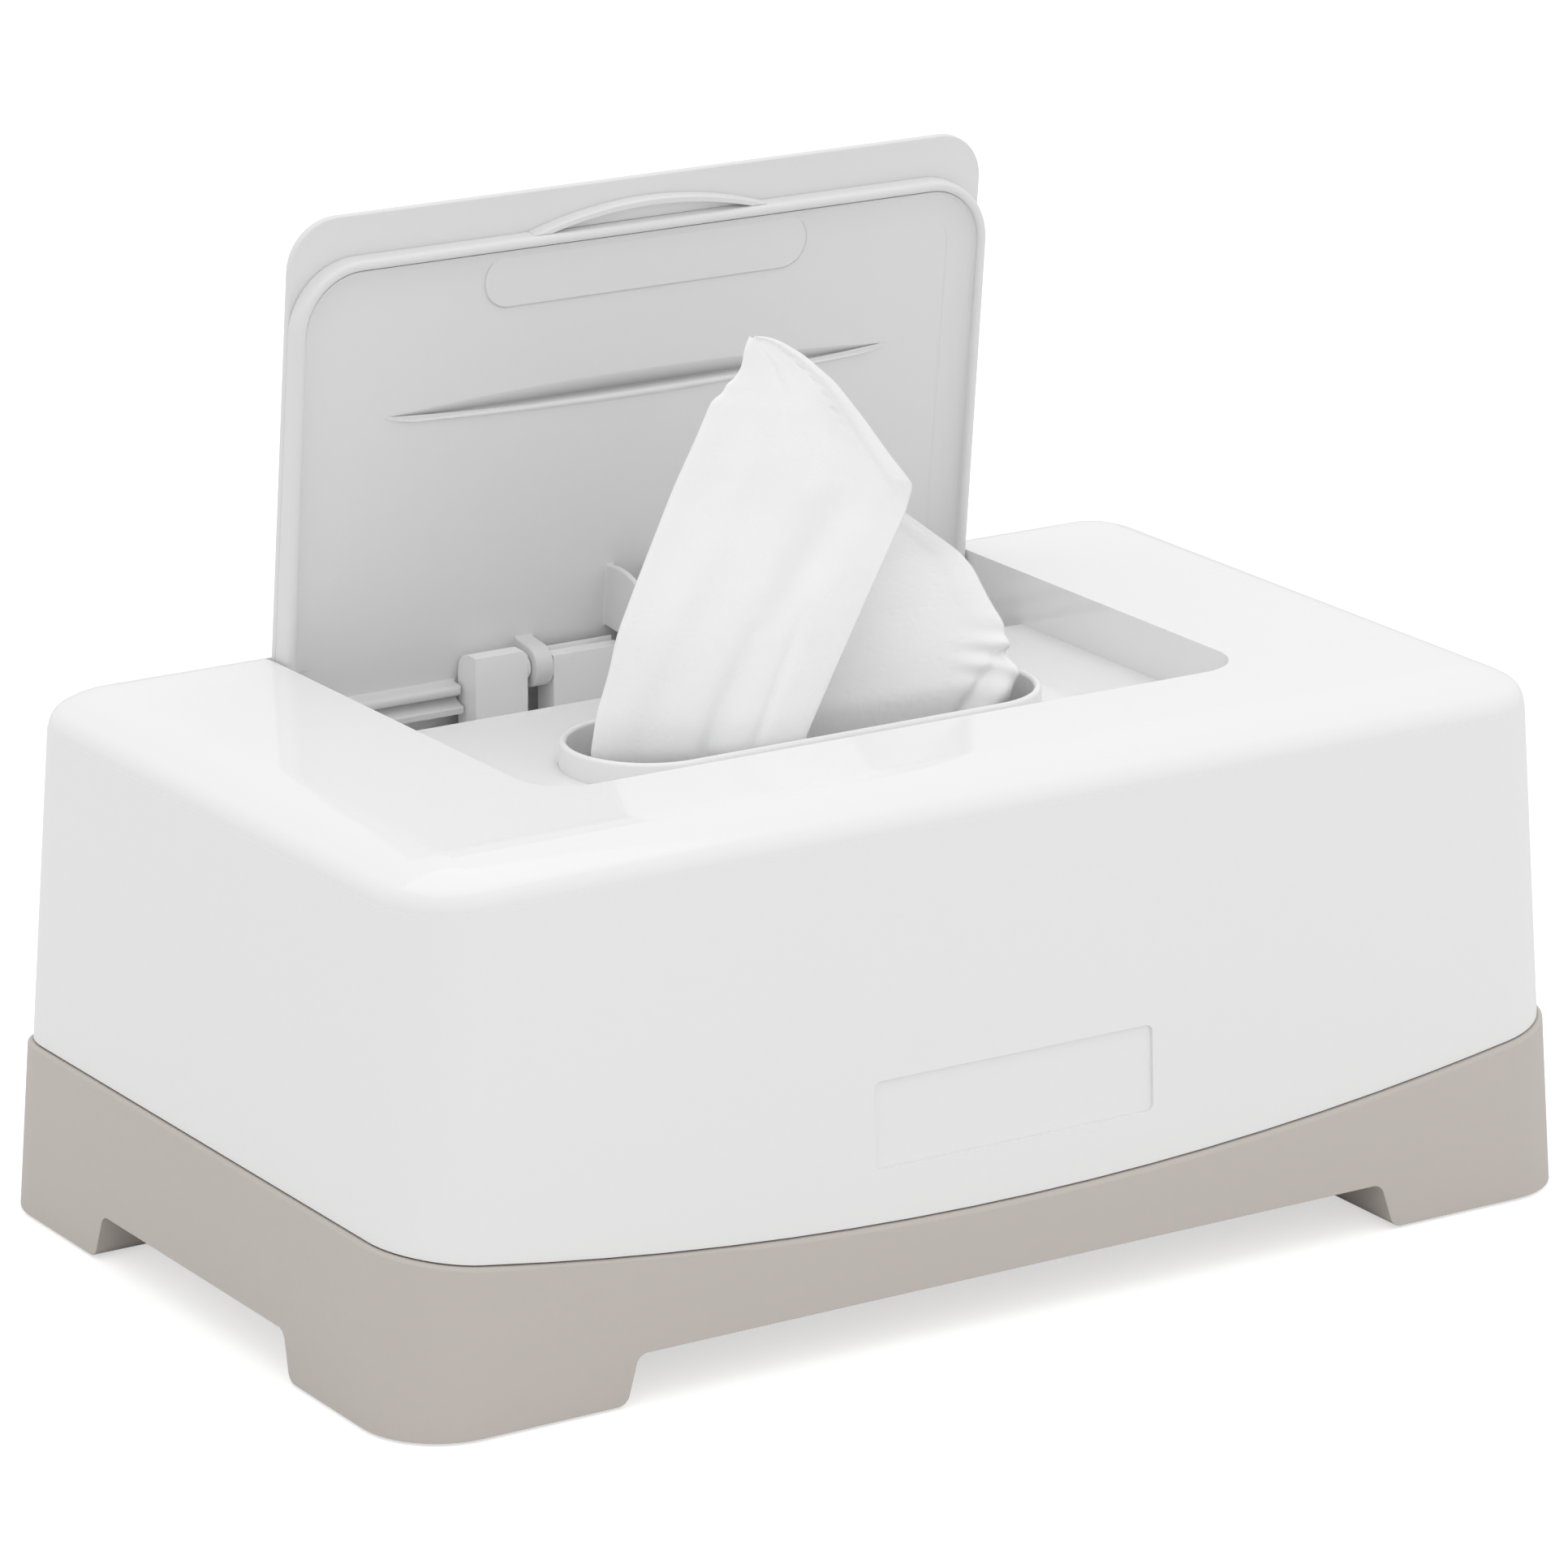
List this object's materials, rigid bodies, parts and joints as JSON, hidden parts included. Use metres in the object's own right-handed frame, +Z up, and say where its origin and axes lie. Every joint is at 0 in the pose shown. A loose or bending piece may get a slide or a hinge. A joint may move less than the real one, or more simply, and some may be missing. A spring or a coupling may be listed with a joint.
{
  "type": "wipes dispenser box",
  "caption": "Long rounded box that hands out moist wipes: a footed tray, a lift-off shell with a sunk deck and an oval collar, and a sprung hinged lid standing open.",
  "frame": {"origin": "middle of the standing face, on the surface that the foot pads rest on", "axes": "+Z up, +X to the right along the length as seen from the front, the front with the bare panel faces -Y"},
  "size_m": [0.25, 0.152, 0.1815],
  "materials": {
    "white_shell_plastic": "polished white moulding",
    "white_lid_plastic": "white moulding with a soft gloss",
    "warm_grey_plastic": "warm grey moulding with a fine grain",
    "pad_rubber": "soft grey rubber",
    "plain_steel": "drawn wire and rod",
    "wipe_fabric": "moist nonwoven, embossed"
  },
  "bodies": {
    "base": {"base_tray": "warm_grey_plastic", "foot_pad_front_left": "pad_rubber", "foot_pad_front_right": "pad_rubber", "foot_pad_back_left": "pad_rubber", "foot_pad_back_right": "pad_rubber", "wipes_stack": "wipe_fabric"},
    "cover": {"upper_shell": "white_shell_plastic", "dispensing_collar": "white_shell_plastic", "hinge_carrier": "white_lid_plastic", "carrier_screws": "plain_steel", "hinge_pin_left": "white_lid_plastic", "hinge_pin_right": "white_lid_plastic", "spring_rod": "plain_steel", "lid_spring": "plain_steel", "pulled_wipe": "wipe_fabric"},
    "lid": {"lid_skin": "white_lid_plastic", "lid_frame": "white_lid_plastic", "latch_tab": "white_lid_plastic"}
  },
  "joints": [
    {"name": "cover_lift", "type": "slide", "parent": "base", "child": "cover", "axis": [0, 0, 1], "range_m": [0, 0.07]},
    {"name": "lid_hinge", "type": "hinge", "parent": "cover", "child": "lid", "pos_m": [0, 0.0526, 0.0912], "axis": [1, 0, 0], "range_deg": [0, 84], "stiffness_Nm_per_rad": 0.0123, "springref_deg": -55.92, "deforming": ["pulled_wipe", "lid_spring"]}
  ]
}
